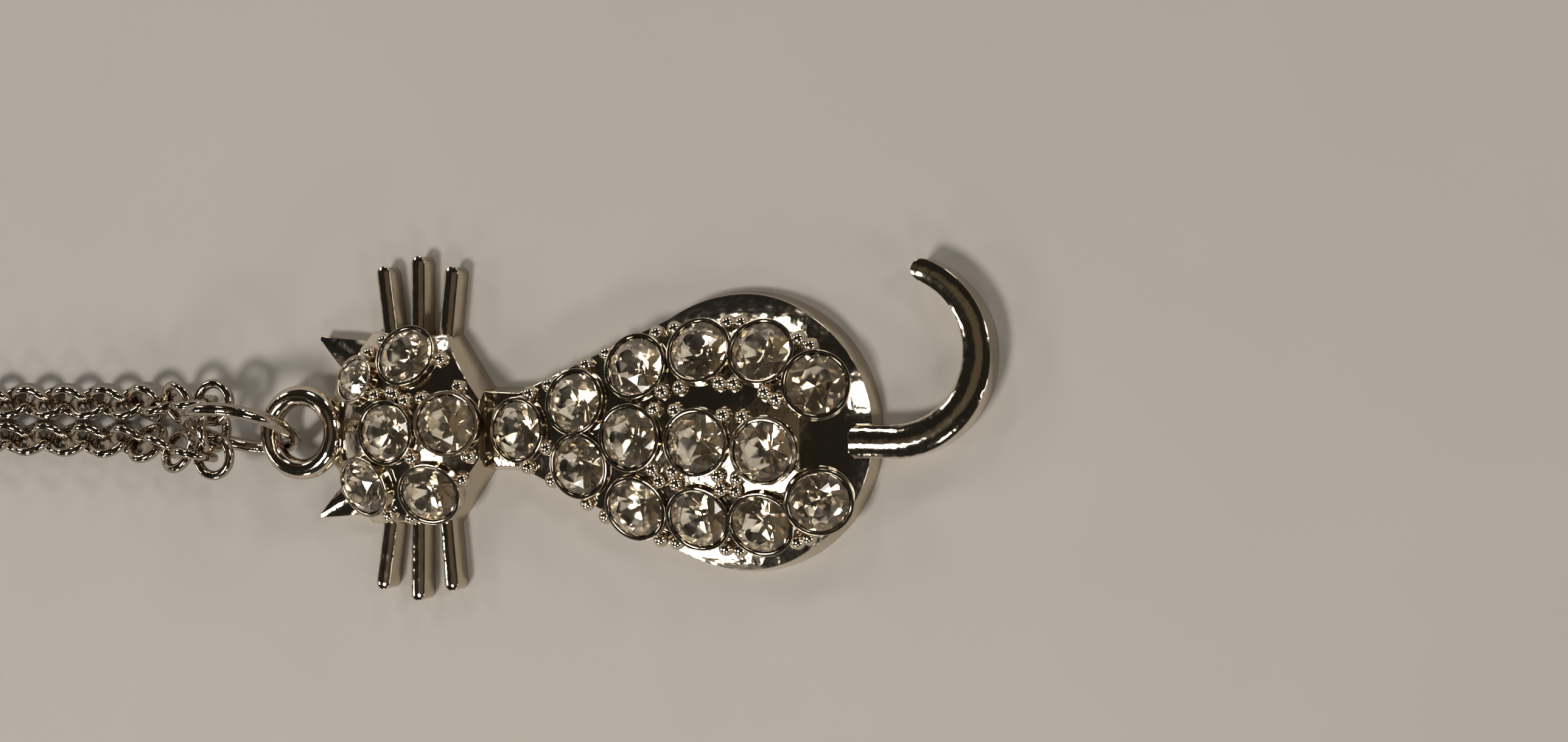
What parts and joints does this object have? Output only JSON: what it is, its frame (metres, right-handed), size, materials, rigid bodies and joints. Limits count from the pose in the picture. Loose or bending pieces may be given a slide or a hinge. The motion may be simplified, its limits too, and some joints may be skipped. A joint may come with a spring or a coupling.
{
  "type": "cat pendant necklace",
  "caption": "Plated cat-shaped pendant set with round faceted stones, hung by a jump ring from a cable chain with a lobster clasp.",
  "frame": {"origin": "on the pendant's flat back, at the middle of the round end of the body", "axes": "+Z out of the pendant's face, +X towards the tail, the head and the chain towards -X"},
  "size_m": [0.0942, 0.0588, 0.0063],
  "materials": {
    "plated_casting": "mirror-polished silver-tone plating",
    "chain_wire": "polished silver-tone plating",
    "clasp_metal": "polished silver-tone plating",
    "spring_steel": "bright spring steel",
    "stone_glass": "faceted, polished, foil at the back"
  },
  "bodies": {
    "pendant": {"casting": "plated_casting", "ear_stone_left": "stone_glass", "ear_stone_right": "stone_glass", "cheek_stone_left": "stone_glass", "cheek_stone_right": "stone_glass", "brow_stone": "stone_glass", "muzzle_stone": "stone_glass", "neck_stone": "stone_glass", "shoulder_stone_left": "stone_glass", "shoulder_stone_right": "stone_glass", "left_stone_1": "stone_glass", "left_stone_2": "stone_glass", "left_stone_3": "stone_glass", "left_stone_4": "stone_glass", "middle_stone_1": "stone_glass", "middle_stone_2": "stone_glass", "middle_stone_3": "stone_glass", "right_stone_1": "stone_glass", "right_stone_2": "stone_glass", "right_stone_3": "stone_glass", "right_stone_4": "stone_glass"},
    "jump_ring": {"jump_ring": "chain_wire"},
    "middle_link": {"middle_link": "chain_wire"},
    "left_link_1": {"left_link_1": "chain_wire"},
    "left_link_2": {"left_link_2": "chain_wire"},
    "left_link_3": {"left_link_3": "chain_wire"},
    "left_link_4": {"left_link_4": "chain_wire"},
    "left_link_5": {"left_link_5": "chain_wire"},
    "left_link_6": {"left_link_6": "chain_wire"},
    "left_link_7": {"left_link_7": "chain_wire"},
    "left_link_8": {"left_link_8": "chain_wire"},
    "left_link_9": {"left_link_9": "chain_wire"},
    "left_link_10": {"left_link_10": "chain_wire"},
    "left_link_11": {"left_link_11": "chain_wire"},
    "right_link_1": {"right_link_1": "chain_wire"},
    "right_link_2": {"right_link_2": "chain_wire"},
    "right_link_3": {"right_link_3": "chain_wire"},
    "right_link_4": {"right_link_4": "chain_wire"},
    "right_link_5": {"right_link_5": "chain_wire"},
    "right_link_6": {"right_link_6": "chain_wire"},
    "right_link_7": {"right_link_7": "chain_wire"},
    "right_link_8": {"right_link_8": "chain_wire"},
    "right_link_9": {"right_link_9": "chain_wire"},
    "right_link_10": {"right_link_10": "chain_wire"},
    "right_link_11": {"right_link_11": "chain_wire"},
    "left_coil": {"left_strand": "chain_wire", "left_end_ring": "chain_wire", "clasp_body": "clasp_metal", "clasp_rivet": "clasp_metal", "clasp_spring": "spring_steel"},
    "right_coil": {"right_strand": "chain_wire", "right_end_ring": "chain_wire"},
    "clasp_lever": {"clasp_lever": "clasp_metal"}
  },
  "joints": [
    {"name": "ring_swing", "type": "hinge", "parent": "pendant", "child": "jump_ring", "pos_m": [-0.02857, -0.0003, 0.0017], "axis": [0, 1, 0], "range_deg": [0, 46]},
    {"name": "chain_swing", "type": "hinge", "parent": "jump_ring", "child": "middle_link", "pos_m": [-0.03256, -0.00018, 0.00297], "axis": [0, 0, 1], "range_deg": [-18, 18]},
    {"name": "left_lift_1", "type": "hinge", "parent": "middle_link", "child": "left_link_1", "pos_m": [-0.03146, 0.00138, 0.00304], "axis": [0, 1, 0], "range_deg": [0, 8]},
    {"name": "left_lift_2", "type": "hinge", "parent": "left_link_1", "child": "left_link_2", "pos_m": [-0.03218, 0.00137, 0.00294], "axis": [0, 1, 0], "range_deg": [0, 8]},
    {"name": "left_lift_3", "type": "hinge", "parent": "left_link_2", "child": "left_link_3", "pos_m": [-0.03362, 0.00136, 0.00262], "axis": [0, 1, 0], "range_deg": [0, 8]},
    {"name": "left_lift_4", "type": "hinge", "parent": "left_link_3", "child": "left_link_4", "pos_m": [-0.03506, 0.00134, 0.00213], "axis": [0, 1, 0], "range_deg": [0, 8]},
    {"name": "left_lift_5", "type": "hinge", "parent": "left_link_4", "child": "left_link_5", "pos_m": [-0.0365, 0.00132, 0.00166], "axis": [0, 1, 0], "range_deg": [0, 8]},
    {"name": "left_lift_6", "type": "hinge", "parent": "left_link_5", "child": "left_link_6", "pos_m": [-0.03794, 0.00131, 0.00133], "axis": [0, 1, 0], "range_deg": [0, 8]},
    {"name": "left_lift_7", "type": "hinge", "parent": "left_link_6", "child": "left_link_7", "pos_m": [-0.03938, 0.0013, 0.00115], "axis": [0, 1, 0], "range_deg": [0, 8]},
    {"name": "left_lift_8", "type": "hinge", "parent": "left_link_7", "child": "left_link_8", "pos_m": [-0.04082, 0.0013, 0.00107], "axis": [0, 1, 0], "range_deg": [0, 8]},
    {"name": "left_lift_9", "type": "hinge", "parent": "left_link_8", "child": "left_link_9", "pos_m": [-0.04226, 0.00129, 0.00104], "axis": [0, 1, 0], "range_deg": [0, 8]},
    {"name": "left_lift_10", "type": "hinge", "parent": "left_link_9", "child": "left_link_10", "pos_m": [-0.0437, 0.00129, 0.00104], "axis": [0, 1, 0], "range_deg": [0, 8]},
    {"name": "left_lift_11", "type": "hinge", "parent": "left_link_10", "child": "left_link_11", "pos_m": [-0.04514, 0.00129, 0.00103], "axis": [0, 1, 0], "range_deg": [0, 8]},
    {"name": "left_coil_lift", "type": "hinge", "parent": "left_link_11", "child": "left_coil", "pos_m": [-0.04658, 0.00129, 0.00103], "axis": [0, 1, 0], "range_deg": [0, 8]},
    {"name": "right_lift_1", "type": "hinge", "parent": "middle_link", "child": "right_link_1", "pos_m": [-0.03146, -0.00168, 0.00304], "axis": [0, 1, 0], "range_deg": [0, 8]},
    {"name": "right_lift_2", "type": "hinge", "parent": "right_link_1", "child": "right_link_2", "pos_m": [-0.03218, -0.00164, 0.00294], "axis": [0, 1, 0], "range_deg": [0, 8]},
    {"name": "right_lift_3", "type": "hinge", "parent": "right_link_2", "child": "right_link_3", "pos_m": [-0.03362, -0.00152, 0.00262], "axis": [0, 1, 0], "range_deg": [0, 8]},
    {"name": "right_lift_4", "type": "hinge", "parent": "right_link_3", "child": "right_link_4", "pos_m": [-0.03506, -0.00132, 0.00213], "axis": [0, 1, 0], "range_deg": [0, 8]},
    {"name": "right_lift_5", "type": "hinge", "parent": "right_link_4", "child": "right_link_5", "pos_m": [-0.0365, -0.00114, 0.00166], "axis": [0, 1, 0], "range_deg": [0, 8]},
    {"name": "right_lift_6", "type": "hinge", "parent": "right_link_5", "child": "right_link_6", "pos_m": [-0.03794, -0.00101, 0.00133], "axis": [0, 1, 0], "range_deg": [0, 8]},
    {"name": "right_lift_7", "type": "hinge", "parent": "right_link_6", "child": "right_link_7", "pos_m": [-0.03938, -0.00094, 0.00115], "axis": [0, 1, 0], "range_deg": [0, 8]},
    {"name": "right_lift_8", "type": "hinge", "parent": "right_link_7", "child": "right_link_8", "pos_m": [-0.04082, -0.00091, 0.00107], "axis": [0, 1, 0], "range_deg": [0, 8]},
    {"name": "right_lift_9", "type": "hinge", "parent": "right_link_8", "child": "right_link_9", "pos_m": [-0.04226, -0.0009, 0.00104], "axis": [0, 1, 0], "range_deg": [0, 8]},
    {"name": "right_lift_10", "type": "hinge", "parent": "right_link_9", "child": "right_link_10", "pos_m": [-0.0437, -0.00089, 0.00104], "axis": [0, 1, 0], "range_deg": [0, 8]},
    {"name": "right_lift_11", "type": "hinge", "parent": "right_link_10", "child": "right_link_11", "pos_m": [-0.04514, -0.00089, 0.00103], "axis": [0, 1, 0], "range_deg": [0, 8]},
    {"name": "right_coil_lift", "type": "hinge", "parent": "right_link_11", "child": "right_coil", "pos_m": [-0.04658, -0.00089, 0.00103], "axis": [0, 1, 0], "range_deg": [0, 8]},
    {"name": "lever_open", "type": "hinge", "parent": "left_coil", "child": "clasp_lever", "pos_m": [-0.06716, 0.01242, 0.0016], "axis": [0, 0, -1], "range_deg": [0, 14], "stiffness_Nm_per_rad": 0.002}
  ]
}
